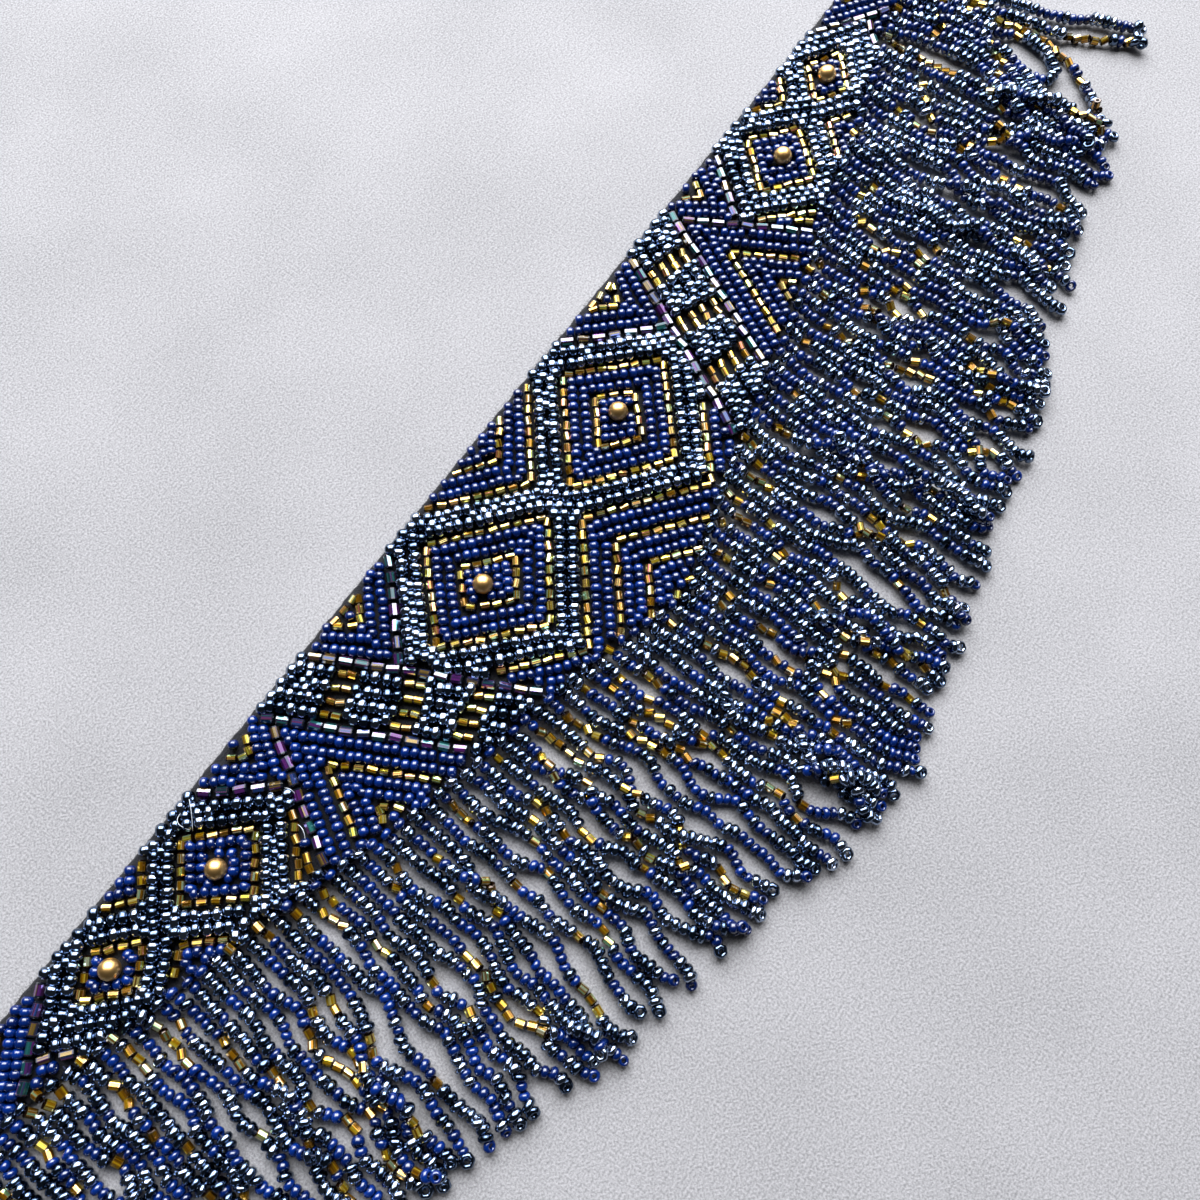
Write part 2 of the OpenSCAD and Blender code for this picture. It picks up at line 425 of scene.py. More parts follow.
def sew_tubes():
    """Every gold and iridescent tube of the field, and the gunmetal beads of the slanted strips."""
    gold, iris, seeds = [], [], []
    for side, pairs in ((1, RIGHT_PAIRS), (-1, LEFT_PAIRS)):
        gold += [mirrored(tubes_along(line, GOLD_PITCH), side) for line in GOLD_LINES]
        iris += [mirrored(tubes_along(line, IRIS_PITCH), side) for line in IRIS_LINES]
        pair_tubes, pair_seeds = slanted_strip(pairs, side)
        gold.append(pair_tubes)
        seeds.append(pair_seeds)
    gold, iris = np.vstack(gold), np.vstack(iris)
    return gold[on_field(gold, GOLD_MARGINS)], iris[on_field(iris, IRIS_MARGINS)], np.vstack(seeds)


def sew_seeds(gold, iris, slanted):
    """Every seed bead of the field: rows, without beads that would meet something, then holes."""
    balls = np.array([(side * x, depth, BALL_ROOM) for x, depth in BALLS for side in (1, -1)])
    root_x = strand_roots()
    roots = np.stack([root_x, depth_at(root_x) - ROOT_INSET, np.full(STRAND_COUNT, ROOT_ROOM)], axis=1)
    tubes = [room_of(gold, GOLD_ROOM, GOLD_REACHES), room_of(iris, IRIS_ROOM, IRIS_REACHES)]
    taken = np.vstack([balls, roots, *tubes])
    rows = [("gunmetal", slanted, TIGHT_ROOM)]
    for ring in RINGS:
        beads = seeds_along(ring, RING_PITCH, closed=True)
        rows += [("blue", mirrored(beads, side), RING_ROOM) for side in (1, -1)]
    pitch = PITCHES["gunmetal"]
    rows += [("gunmetal", seeds_along(row, pitch), SEED_ROOM) for row in rows_between(*CROSSING)]
    for kind, count, one, other in STRIPS:
        for row in rows_between(one, other, count):
            beads = seeds_along(row, PITCHES[kind])
            rows += [(kind, mirrored(beads, side), SEED_ROOM) for side in (1, -1)]
    sewn = {"blue": [], "gunmetal": []}
    for kind, things, room in rows:
        things = things[on_field(things, SEED_MARGINS)]
        things = things[clear_of(things, room, taken)]
        sewn[kind].append(things)
        taken = np.vstack([taken, room_of(things, SEED_ROOM)])
    return fill_holes({kind: np.vstack(parts) for kind, parts in sewn.items()}, taken)


def fill_holes(sewn, taken):
    """Adds a bead in each hole of the field where one still fits, like the bead nearest to it.

    Places on a fine grid are tried in turn, those with the most room first."""
    x, depth = np.meshgrid(
        np.arange(-HALF_FIELD, HALF_FIELD, HOLE_STEP), np.arange(1, BAND_DEPTH, HOLE_STEP), indexing="ij"
    )
    spots = np.stack([x.ravel(), depth.ravel()], axis=1)
    spots = spots[on_field(spots, SEED_MARGINS)]
    room = np.concatenate([
        (np.linalg.norm(part[:, None] - taken[None, :, :2], axis=2) - taken[:, 2]).min(axis=1)
        for part in np.array_split(spots, BATCHES)
    ])
    order = np.argsort(-room, kind="stable")
    spots = spots[order][room[order] > TIGHT_ROOM]
    everything = np.vstack([sewn["blue"], sewn["gunmetal"]])
    chosen = np.full((1, 2), np.inf)
    for spot in spots:
        if np.linalg.norm(chosen - spot, axis=1).min() < 2 * SEED_ROOM:
            continue
        nearest = np.argmin(np.linalg.norm(everything[:, :2] - spot, axis=1))
        kind = "blue" if nearest < len(everything) - len(sewn["gunmetal"]) else "gunmetal"
        sewn[kind] = np.vstack([sewn[kind], [*spot, *everything[nearest, 2:]]])
        chosen = np.vstack([chosen, spot])
        everything = np.vstack([sewn["blue"], sewn["gunmetal"]])
    return sewn


def even_section(sides):
    """That many directions round a bead, evenly spaced, in parts of a turn."""
    return np.arange(sides) / sides


def cut_section(flats, bevel):
    """Directions round a bead with flats, in parts of a turn: one to either side of each corner."""
    return (np.arange(flats)[:, None] / flats + [-bevel, bevel]).ravel()


def turned(profile, section):
    """A closed profile turned round the x axis, as points and faces that look outwards.

    Point (k, s) lies at profile x of k, and at profile radius of k in direction s of the section. The
    profile runs forwards outside and back through the bore."""
    profile = np.array(profile, float)
    sides = len(section)
    angles = section * TURN
    x = np.repeat(profile[:, :1], sides, axis=1)
    points = np.stack([x, profile[:, 1:] * np.cos(angles), profile[:, 1:] * np.sin(angles)], axis=2)
    k, s = np.meshgrid(np.arange(len(profile)), np.arange(sides), indexing="ij")
    after_k, after_s = (k + 1) % len(profile), (s + 1) % sides
    corners = [k * sides + s, after_k * sides + s, after_k * sides + after_s, k * sides + after_s]
    return points.reshape(-1, 3), np.stack(corners, axis=2).reshape(-1, 4)[:, ::-1]


# A direction near upright that no thread takes
NEAR_UP = (0.05, 0.02, 1.0)


def frames_along(ahead, roll):
    """Axes of beads on a thread: x runs ahead along it, and y and z are turned round it by the roll."""
    ahead = ahead / np.linalg.norm(ahead, axis=1, keepdims=True)
    side = np.cross(NEAR_UP, ahead)
    side /= np.linalg.norm(side, axis=1, keepdims=True)
    lift = np.cross(ahead, side)
    c, s = np.cos(roll)[:, None], np.sin(roll)[:, None]
    return np.stack([ahead, c * side + s * lift, c * lift - s * side], axis=2)


def copies(shape, faces, places, frames, sizes):
    """One shape again and again: point v of copy n lies at place n + frame n * (size n * shape v)."""
    points = places[:, None] + np.einsum("nij,nvj->nvi", frames, sizes[:, None] * shape[None])
    numbers = faces[None] + len(shape) * np.arange(len(places))[:, None, None]
    return points.reshape(-1, 3), numbers.reshape(-1, faces.shape[1])


def put_mesh(name, points, faces, material, smooth=True, tones=None, streaks=None):
    """A mesh object from points in millimetres.

    Tones, one a point, become its attribute tone, and streaks, three a point, its attribute streak."""
    mesh = bpy.data.meshes.new(name)
    mesh.from_pydata((points * MM).tolist(), [], [list(face) for face in faces])
    mesh.polygons.foreach_set("use_smooth", np.full(len(mesh.polygons), smooth))
    if tones is not None:
        mesh.attributes.new("tone", "FLOAT", "POINT").data.foreach_set("value", tones.astype(np.float32))
    if streaks is not None:
        streaks = streaks.ravel().astype(np.float32)
        mesh.attributes.new("streak", "FLOAT_VECTOR", "POINT").data.foreach_set("vector", streaks)
    mesh.materials.append(material)
    thing = bpy.data.objects.new(name, mesh)
    bpy.context.scene.collection.objects.link(thing)
    return thing


# Profiles, as shares of the half length and half width: forwards outside, then back through the bore
BLUE_PROFILE = [(-0.78, 0.42), (-0.95, 0.7), (-0.38, 1), (0.38, 1), (0.95, 0.7), (0.78, 0.42)]
GUNMETAL_PROFILE = [(-0.8, 0.42), (-0.97, 0.74), (-0.34, 1), (0.34, 1), (0.97, 0.74), (0.8, 0.42)]
TUBE_PROFILE = [(-1, 0.45), (-1, 0.8), (-0.9, 1), (-0.7, 1), (0.7, 1), (0.9, 1), (1, 0.8), (1, 0.45)]
# Which points of a tube's profile lie at its ends, which are painted dark as shade between tubes
SHADED_TUBE_ENDS = [0, 1, 2, 5, 6, 7]
BLUE_SECTION = even_section(11)
GUNMETAL_SECTION = cut_section(6, 0.02)
TUBE_SECTION = even_section(8)
# Where a tube's streaks are read in the noise: on a circle of this radius, at a level up to this high
STREAK_CIRCLE = 1.7
STREAK_LEVEL = 90


def scatter(shape, spread):
    """Random numbers about 0, in that array shape, that reach twice the spread at most."""
    return np.clip(rng.standard_normal(shape), -2, 2) * spread


def lie_on_felt(things, width, sway):
    """Places and directions in the frame of things sewn on the felt, of that width and random sway."""
    count = len(things)
    z = np.full(count, FELT_TOP + width / 2)
    places = np.stack([things[:, 0], TOP_Y - things[:, 1], z], axis=1)
    places += STRAY * rng.standard_normal((count, 3)) * [1, 1, 0.7] + [0, 0, STRAY]
    ahead = np.stack([things[:, 2], -things[:, 3], STRAY * rng.standard_normal(count)], axis=1)
    skew = sway * rng.standard_normal(count)
    ahead[:, :2] += skew[:, None] * np.stack([-ahead[:, 1], ahead[:, 0]], axis=1)
    return places, ahead


def seed_beads(name, profile, section, places, ahead, width, lengths, material, spread=0.03):
    """Seed beads of slightly uneven size on a thread, each with its own tone."""
    count = len(places)
    shape, faces = turned(profile, section)
    sizes = np.stack([lengths, np.full(count, width), np.full(count, width)], axis=1) / 2
    sizes[:, 1:] *= 1 + scatter((count, 1), spread)
    sizes[:, 1:] *= 1 + scatter((count, 2), 0.025)
    frames = frames_along(ahead, TURN * rng.random(count))
    points, numbers = copies(shape, faces, places, frames, sizes)
    return put_mesh(name, points, numbers, material, tones=np.repeat(rng.random(count), len(shape)))


def cut_tubes(name, places, ahead, width, length, material, first_tone=0.0, last_tone=1.0):
    """Eight-sided cut tubes of uneven size, each turned at random on its thread.

    A tube has one tone from the first to the last, and -1 at its ends, where it is painted dark as
    shade between tubes. Its streak goes in a circle round it, at a level of its own, so that noise read
    there runs in streaks along the tube."""
    count = len(places)
    shape, faces = turned(TUBE_PROFILE, TUBE_SECTION)
    uneven = 1 + scatter((count, 2), [0.035, 0.05])
    sizes = np.array([length, width, width]) / 2 * uneven[:, [0, 1, 1]]
    frames = frames_along(ahead, TURN * rng.random(count))
    points, numbers = copies(shape, faces, places, frames, sizes)
    tones = first_tone + (last_tone - first_tone) * rng.random((count, 1, 1))
    tones = np.tile(tones, (1, len(TUBE_PROFILE), len(TUBE_SECTION)))
    # The ends take tone -1, which the finish turns into painted shade
    tones[:, SHADED_TUBE_ENDS] = -1
    angles = TUBE_SECTION * TURN
    circle = STREAK_CIRCLE * np.stack([np.cos(angles), np.sin(angles), 0 * angles], axis=1)
    level = STREAK_LEVEL * rng.random((count, 1, 1, 1)) * [0, 0, 1]
    streaks = np.broadcast_to(circle + level, (count, len(TUBE_PROFILE), len(TUBE_SECTION), 3))
    return put_mesh(name, points, numbers, material, smooth=False, tones=tones.ravel(), streaks=streaks)


def chance(i):
    """The repeatable number from 0 to 1 that sets the length of strand i."""
    value = 100 * np.sin(np.radians(97 * i))
    return value - np.floor(value)


def wanted_lengths():
    """How long each strand is: the straight way from its root to its tip's depth, some more for its
    waves, and a spread by the strand's own chance."""
    root_x = strand_roots()
    drift = np.interp(root_x, *DRIFT.T)
    straight = np.hypot(drift, np.interp(root_x + drift, *TIPS.T) - depth_at(root_x))
    return straight * WAVY + STRAND_SPREAD * (chance(np.arange(STRAND_COUNT)) - 0.5)


def string_kinds():
    """What is strung on each strand, bead by bead: 0 blue, 1 gunmetal, 2 gold tube, in short runs."""
    kinds = np.zeros((STRAND_COUNT, STRAND_BEADS), int)
    kinds[:, 0] = rng.choice(3, STRAND_COUNT, p=STRING_SHARES)
    for bead in range(1, STRAND_BEADS):
        fresh = rng.choice(3, STRAND_COUNT, p=STRING_SHARES)
        again = rng.random(STRAND_COUNT) < REPEATS[kinds[:, bead - 1]]
        kinds[:, bead] = np.where(again, kinds[:, bead - 1], fresh)
    end = kinds[:, -PLAIN_END:]
    end[end == 2] = 1
    return kinds


def first_lie(reach):
    """Where the strands start before they settle, and their own bends.

    Strand i goes down from its root by its reach. It drifts sideways with share ** 1.4 of the way,
    bunches with its neighbours by slow waves over i, and wanders by sine waves of its own. A strand with
    a curl passes the curl's places instead."""
    i = np.arange(STRAND_COUNT)[:, None]
    root_x = strand_roots()[:, None]
    share = reach / STRAND_LENGTH
    bunch = sum(size * np.sin(i * turn + start + along * share) for size, turn, start, along in BUNCHES)
    wander = np.zeros_like(reach)
    for length, size in WANDERS:
        start = TURN * rng.random((STRAND_COUNT, 1))
        sizes = size * rng.uniform(0.3, 1.6, (STRAND_COUNT, 1))
        wander += sizes * np.sin(TURN * reach / length + start)
    path = np.empty(reach.shape + (3,))
    drift = np.interp(root_x, *DRIFT.T) * share ** 1.4
    path[:, :, 0] = root_x + drift + bunch * share ** 1.5 + wander * np.clip(reach / 15, 0, 1.2)
    path[:, :, 1] = TOP_Y - depth_at(root_x) + ROOT_INSET - reach
    for strand, places in CURLS.items():
        places = np.vstack([(path[strand, 0, 0], TOP_Y - path[strand, 0, 1]), places])
        way = np.concatenate([[0], np.cumsum(np.linalg.norm(np.diff(places, axis=0), axis=1))])
        path[strand, :, 0] = np.interp(reach[strand], way, places[:, 0])
        path[strand, :, 1] = TOP_Y - np.interp(reach[strand], way, places[:, 1])
    lift = 8 * rng.random((STRAND_COUNT, 1)) ** 1.5
    start = TURN * rng.random((STRAND_COUNT, 1))
    path[:, :, 2] = 1.3 + lift * np.minimum(share * 6, 1) * (1 + 0.6 * np.sin(9 * share + start))
    path[:, 0, 2] = FELT_TOP + ROOT_HEIGHT + ROOT_STAGGER * (i[:, 0] % 2)
    bends = (path[:, :-2] + path[:, 2:]) / 2 - path[:, 1:-1]
    bends[:, :, 2] = 0
    return path, bends


def hang_strands(kinds):
    """Where the strands come to rest: places by strand and bead, which beads there are, and their sizes.

    Again and again the strands sink, unevenness beyond their own bends is eased, their beads keep their
    spacing, beads of different strands push apart, and the floor holds them up."""
    lengths = np.where(kinds == 2, STRING_TUBE, STRING_SEED)
    lengths = lengths * (1 + scatter(kinds.shape, 0.11))
    radii = np.array([STRING_BLUE_WIDTH, STRING_GUNMETAL_WIDTH, STRING_TUBE_WIDTH])[kinds] / 2
    spacing = (lengths[:, 1:] + lengths[:, :-1]) / 2 + STRING_SLACK
    reach = np.hstack([np.zeros((STRAND_COUNT, 1)), np.cumsum(spacing, axis=1)])
    there = reach < wanted_lengths()[:, None]
    path, bends = first_lie(reach)
    pinned = path[:, 0].copy()
    for _ in range(PASSES):
        path[:, 1:, 2] -= SINK
        path[:, 1:-1] += EASE * ((path[:, :-2] + path[:, 2:]) / 2 - bends - path[:, 1:-1])
        for _ in range(SPACINGS):
            keep_spacing(path, spacing)
        push_apart(path, radii, there)
        path[:, :, 2] = np.maximum(path[:, :, 2], radii + FLOOR_GAP)
        path[:, 0] = pinned
    return path, there, lengths, radii


def keep_spacing(path, spacing):
    """Moves each two neighbours on a strand, even pairs and then odd ones, back to their spacing."""
    for first in (0, 1):
        b = path[:, first + 1::2]
        a = path[:, first::2][:, :b.shape[1]]
        gap = b - a
        far = np.linalg.norm(gap, axis=2, keepdims=True) + 1e-9
        move = gap * (1 - spacing[:, first::2, None] / far) / 2
        a += move
        b -= move


def push_apart(path, radii, there):
    """Moves beads of different strands that cut into each other apart, each by half of the overlap."""
    beads = path.shape[1]
    for strands in range(1, NEAR_STRANDS + 1):
        for shift in range(-NEAR_BEADS, NEAR_BEADS + 1):
            low, high = max(0, -shift), min(beads, beads - shift)
            a = path[:-strands, low:high]
            b = path[strands:, low + shift:high + shift]
            room = radii[:-strands, low:high] + radii[strands:, low + shift:high + shift]
            gap = b - a
            far = np.linalg.norm(gap, axis=2)
            both = there[:-strands, low:high] & there[strands:, low + shift:high + shift]
            over = np.where(both, np.maximum(room - far, 0), 0)
            move = gap * (over / (far + 1e-9) / 2)[:, :, None]
            a -= move
            b += move


def directions(path, there):
    """The thread's direction at each bead, from the bead before it to the one after, and the bead's axis.

    A bead leans away from its thread at random. The last one of a strand lies nearly flat, bore up."""
    ahead = np.empty_like(path)
    ahead[:, 1:-1] = path[:, 2:] - path[:, :-2]
    ahead[:, 0] = (path[:, 1] - path[:, 0]) * [1, 1, 0.3]
    ahead[:, -1] = path[:, -1] - path[:, -2]
    ahead /= np.linalg.norm(ahead, axis=2, keepdims=True)
    tilted = ahead + scatter(path.shape, LEAN)
    rows = np.arange(len(path))
    last = there.sum(axis=1) - 1
    tilted[rows, last] = 0.4 * ahead[rows, last] + [0, 0, 1] + 0.25 * rng.standard_normal((len(path), 3))
    return ahead, tilted / np.linalg.norm(tilted, axis=2, keepdims=True)


def off_floor(places, ahead, lengths, radii):
    """The places, each high enough that its bead clears the floor.

    A bead reaches down by half its length times |ahead z|, and by the radius of the widest bead of its
    kind times the root of 1 - ahead z ** 2."""
    slope = np.abs(ahead[..., 2])
    lowest = lengths / 2 * slope + radii * SIZE_MARGIN * np.sqrt(1 - slope ** 2)
    return np.concatenate([places[..., :2], np.maximum(places[..., 2], lowest)[..., None]], axis=-1)


def skin(rings, sides):
    """Faces between that many rings of points, one after the other, and over the first and last ring."""
    k, s = np.meshgrid(np.arange(rings - 1), np.arange(sides), indexing="ij")
    t = (s + 1) % sides
    quads = np.stack([k * sides + s, k * sides + t, (k + 1) * sides + t, (k + 1) * sides + s], axis=2)
    end = (rings - 1) * sides
    return quads.reshape(-1, 4).tolist() + [list(range(sides))[::-1], list(range(end, end + sides))]


def swept(line, ahead, radius, sides):
    """A round thread of that radius along a line: ring k is square to direction k about point k."""
    axes = frames_along(ahead, np.zeros(len(line)))
    angles = np.arange(sides) * TURN / sides
    ring = radius * np.stack([np.zeros(sides), np.cos(angles), np.sin(angles)], axis=1)
    points = line[:, None] + np.einsum("nij,sj->nsi", axes, ring)
    return points.reshape(-1, 3), skin(len(line), sides)


def joined(parts):
    """Points and faces of several shapes as one: the face numbers of each go on from those before it."""
    starts = np.cumsum([0] + [len(points) for points, _ in parts])
    faces = []
    for start, (_, shape) in zip(starts.tolist(), parts):
        faces += [[start + n for n in face] for face in shape]
    return np.vstack([points for points, _ in parts]), faces


def strand_threads(path, ahead, there):
    """Each strand's thread, from inside the felt's edge through all its beads."""
    parts = []
    for strand, direction, on in zip(path, ahead, there):
        root = strand[:1] + [0, 1.6, -0.6]
        line = np.vstack([root, strand[on]])
        way = np.vstack([strand[:1] - root, direction[on]])
        parts.append(swept(line, way, THREAD_RADIUS, 4))
    return joined(parts)


def loose_ends():
    """Ends of clear thread left standing out of the beads.

    Point s of an end, for s from 0 to 1, lies at (1 - s) ** 2 * a + 2 * s * (1 - s) * b + s ** 2 * c."""
    parts = []
    s = np.linspace(0, 1, 10)[:, None]
    for places in LOOSE_ENDS:
        a, b, c = np.array(places) * [1, -1, 1] + [0, TOP_Y, FELT_TOP]
        line = (1 - s) ** 2 * a + 2 * s * (1 - s) * b + s ** 2 * c
        parts.append(swept(line, (1 - s) * (b - a) + s * (c - b), CLEAR_THREAD_RADIUS, 5))
    return joined(parts)


def felt_cloth():
    """The felt: an even section with round edges, carried along the band and closed at both ends.

    The section goes along the underside, round the top edge, back over the top and round the lower edge.
    Round an edge, y leaves the edge's middle by half the thickness times the cosine, z by the sine."""
    x = np.linspace(-HALF_BAND, HALF_BAND, FELT_RINGS)[:, None]
    half = FELT_TOP / 2
    turn = np.linspace(-TURN / 4, TURN / 4, FELT_ROUND)[1:-1]
    share = np.linspace(0, 1, FELT_ACROSS)
    waver = 0.1 * np.sin(0.9 * x) + 0.08 * np.sin(2.3 * x + 1)
    low = TOP_Y - depth_at(x) + half + 0.15 + waver
    high = TOP_Y - half - 0.12 + 0.8 * waver
    across = low + (high - low) * share
    out, rise = half * np.cos(turn), half * np.sin(turn)
    y = np.hstack([across, high + out, across[:, ::-1], low - out])
    z = np.concatenate([0 * share, half + rise, 2 * half + 0 * share, half - rise])
    around = y.shape[1]
    points = np.stack([np.repeat(x, around, axis=1), y, np.tile(z, (len(x), 1))], axis=2)
    return points.reshape(-1, 3), skin(len(x), around)


def felt_hairs(count):
    """Short bent hairs that stand out from the felt's top edge and ends, each tapering over four rings.

    Ring k of a hair lies at root + length * (s * out + s ** 2 * bend), where s is k / 3."""
    x = rng.uniform(-HALF_BAND, HALF_BAND, count)
    root = np.stack([x, np.full(count, TOP_Y - 0.35), rng.uniform(0.2, FELT_TOP, count)], axis=1)
    along, up = 0.7 * rng.standard_normal(count), 0.25 * rng.standard_normal(count)
    out = np.stack([along, np.ones(count), up], axis=1)
    at_end = rng.random(count) < 0.08
    side = np.sign(x)
    root[at_end, 0] = side[at_end] * (HALF_BAND - 0.2)
    root[at_end, 1] = TOP_Y - 11 * rng.random(at_end.sum())
    out[at_end] = out[at_end][:, [1, 0, 2]]
    out[at_end, 0] *= side[at_end]
    out /= np.linalg.norm(out, axis=1, keepdims=True)
    bend = 0.5 * rng.standard_normal((count, 3)) * [1, 1, 0.4]
    length = rng.uniform(0.35, 1.0, count) + 0.5 * (rng.random(count) > 0.93)
    s = (np.arange(4) / 3)[None, :, None]
    spine = root[:, None] + length[:, None, None] * (s * out[:, None] + s ** 2 * bend[:, None])
    spine[:, :, 2] = np.clip(spine[:, :, 2], 0.05, 3)
    radii = 0.028 * np.array([1, 0.85, 0.6, 0.25])[None, :, None, None]
    sides = frames_along(out, np.zeros(count))[:, :, 1:]
    angles = np.arange(3) * TURN / 3
    ring = np.einsum("nij,sj->nsi", sides, np.stack([np.cos(angles), np.sin(angles)], axis=1))
    points = spine[:, :, None] + radii * ring[:, None]
    shape = skin(4, 3)
    faces = [[12 * n + v for v in face] for n in range(count) for face in shape]
    return points.reshape(-1, 3), faces


def new_material(name):
    """An empty material: itself, its node tree and its shader."""
    material = bpy.data.materials.new(name)
    material.use_nodes = True
    tree = material.node_tree
    return material, tree, tree.nodes["Principled BSDF"]


def ramp_of(tree, source, stops):
    """A colour ramp on that source, with (place, colour) stops."""
    ramp = tree.nodes.new("ShaderNodeValToRGB")
    elements = ramp.color_ramp.elements
    while len(elements) < len(stops):
        elements.new(0.5)
    for element, (place, colour) in zip(elements, stops):
        element.position = place
        element.color = (*colour, 1)
    tree.links.new(source, ramp.inputs["Fac"])
    return ramp.outputs["Color"]


def noise_of(tree, scale, detail=2.0, where=None):
    """Noise at the places given, or on the piece's own coordinates with that many waves to the metre."""
    if where is None:
        where = tree.nodes.new("ShaderNodeTexCoord").outputs["Object"]
    noise = tree.nodes.new("ShaderNodeTexNoise")
    noise.inputs["Scale"].default_value = scale
    noise.inputs["Detail"].default_value = detail
    tree.links.new(where, noise.inputs["Vector"])
    return noise.outputs["Fac"]


def add_bump(tree, shader, source, strength, distance):
    """Relief of that height in metres from the source."""
    bump = tree.nodes.new("ShaderNodeBump")
    bump.inputs["Strength"].default_value = strength
    bump.inputs["Distance"].default_value = distance
    tree.links.new(source, bump.inputs["Height"])
    tree.links.new(bump.outputs["Normal"], shader.inputs["Normal"])


def worked_out(tree, operation, *inputs):
    """A sum done in the material: each input is a number or another node's output."""
    node = tree.nodes.new("ShaderNodeMath")
    node.operation = operation
    for socket, value in zip(node.inputs, inputs):
        if isinstance(value, (int, float)):
            socket.default_value = value
        else:
            tree.links.new(value, socket)
    return node.outputs["Value"]


def streaked(tree, tone):
    """The tone with streaks along the tube: tone + 0.9 * noise less its whole part, and 0 at the ends,
    which the ramp's first stop paints as shade.
    """
    streak = tree.nodes.new("ShaderNodeAttribute")
    streak.attribute_name = "streak"
    noise = noise_of(tree, 1, 1, streak.outputs["Vector"])
    mixed = worked_out(tree, "FRACT", worked_out(tree, "MULTIPLY_ADD", noise, 0.9, tone))
    return worked_out(tree, "MULTIPLY", mixed, worked_out(tree, "GREATER_THAN", tone, 0))


def bead_finish(name, stops, metallic, roughness, bump=0.0, coat=0.0, tubes=False):
    """Glossy glass whose colour follows each bead's own tone, and its streaks on tubes."""
    material, tree, shader = new_material(name)
    attribute = tree.nodes.new("ShaderNodeAttribute")
    attribute.attribute_name = "tone"
    tone = attribute.outputs["Fac"]
    if tubes:
        tone = streaked(tree, tone)
    tree.links.new(ramp_of(tree, tone, stops), shader.inputs["Base Color"])
    shader.inputs["Metallic"].default_value = metallic
    shader.inputs["Roughness"].default_value = roughness
    shader.inputs["IOR"].default_value = 1.6
    shader.inputs["Coat Weight"].default_value = coat
    shader.inputs["Coat Roughness"].default_value = 0.06
    shader.inputs["Coat IOR"].default_value = 1.75
    if bump:
        add_bump(tree, shader, noise_of(tree, 1300), bump, 0.0002)
    return material


def felt_finish():
    """Black felt: matted fibres in a fine relief, with a soft sheen."""
    material, tree, shader = new_material("felt_finish")
    fibres = noise_of(tree, 2600, 6)
    stops = [(0.3, (0.003, 0.003, 0.0045)), (0.7, (0.01, 0.01, 0.013))]
    tree.links.new(ramp_of(tree, fibres, stops), shader.inputs["Base Color"])
    shader.inputs["Roughness"].default_value = 0.95
    shader.inputs["Specular IOR Level"].default_value = 0.2
    shader.inputs["Sheen Weight"].default_value = 0.08
    add_bump(tree, shader, fibres, 0.8, 0.0004)
    return material


def metal_finish(name, colour, roughness):
    """Satin metal with a faint unevenness."""
    material, tree, shader = new_material(name)
    grain = noise_of(tree, 1500, 3)
    dark = tuple(0.85 * c for c in colour)
    tree.links.new(ramp_of(tree, grain, [(0.3, dark), (0.7, colour)]), shader.inputs["Base Color"])
    shader.inputs["Metallic"].default_value = 1
    shader.inputs["Roughness"].default_value = roughness
    add_bump(tree, shader, grain, 0.12, 0.0001)
    return material


def thread_finish(name, dark, light, roughness, gloss):
    """Twisted thread: fine fibres that show in its colour and as relief."""
    material, tree, shader = new_material(name)
    fibres = noise_of(tree, 4500, 3)
    tree.links.new(ramp_of(tree, fibres, [(0.35, dark), (0.65, light)]), shader.inputs["Base Color"])
    shader.inputs["Roughness"].default_value = roughness
    shader.inputs["Specular IOR Level"].default_value = gloss
    add_bump(tree, shader, fibres, 0.5, 0.00005)
    return material


def floor_finish():
    """Pale grey stone: faint clouds under a fine grain."""
    material, tree, shader = new_material("floor_finish")
    grain = noise_of(tree, 2300, 3)
    clouds = noise_of(tree, 25, 4)
    mixed = worked_out(tree, "MULTIPLY_ADD", clouds, 0.25, grain)
    stops = [(0.42, (0.139, 0.136, 0.141)), (0.62, (0.208, 0.203, 0.21)), (0.82, (0.268, 0.26, 0.27))]
    tree.links.new(ramp_of(tree, mixed, stops), shader.inputs["Base Color"])
    shader.inputs["Roughness"].default_value = 0.85
    shader.inputs["Specular IOR Level"].default_value = 0.2
    add_bump(tree, shader, grain, 0.4, 0.0003)
    return material


BLUE_TONES = [(0, (0.0004, 0.004, 0.035)), (0.5, (0.0005, 0.0076, 0.063)), (1, (0.0008, 0.013, 0.107))]
GUNMETAL_TONES = [(0, (0.055, 0.083, 0.138)), (0.5, (0.15, 0.203, 0.3)), (1, (0.37, 0.435, 0.56))]
# In the tube tones, the stop at 0 is also the painted shade at each tube's ends
GOLD_TONES = [
    (0, (0.02, 0.007, 0.001)), (0.04, (0.2, 0.085, 0.003)), (0.12, (0.46, 0.22, 0.004)),
    (0.2, (0.6, 0.43, 0.015)), (0.28, (0.7, 0.6, 0.22)), (0.33, (0.08, 0.026, 0.002)),
    (0.44, (0.36, 0.18, 0.004)), (0.475, (0.6, 0.1, 0.17)), (0.51, (0.66, 0.48, 0.08)),
    (0.62, (0.07, 0.026, 0.003)), (0.7, (0.5, 0.4, 0.01)), (0.78, (0.14, 0.36, 0.2)),
    (0.84, (0.62, 0.6, 0.4)), (0.88, (0.07, 0.028, 0.003)), (0.95, (0.46, 0.2, 0.004)),
    (1, (0.2, 0.085, 0.003)),
]
IRIS_TONES = [
    (0, (0.01, 0.014, 0.025)), (0.1, (0.01, 0.05, 0.06)), (0.22, (0.02, 0.15, 0.14)),
    (0.32, (0.012, 0.02, 0.06)), (0.44, (0.13, 0.02, 0.18)), (0.56, (0.03, 0.008, 0.04)),
    (0.68, (0.22, 0.14, 0.02)), (0.78, (0.03, 0.025, 0.03)), (0.9, (0.015, 0.06, 0.24)),
    (1, (0.18, 0.03, 0.09)),
]

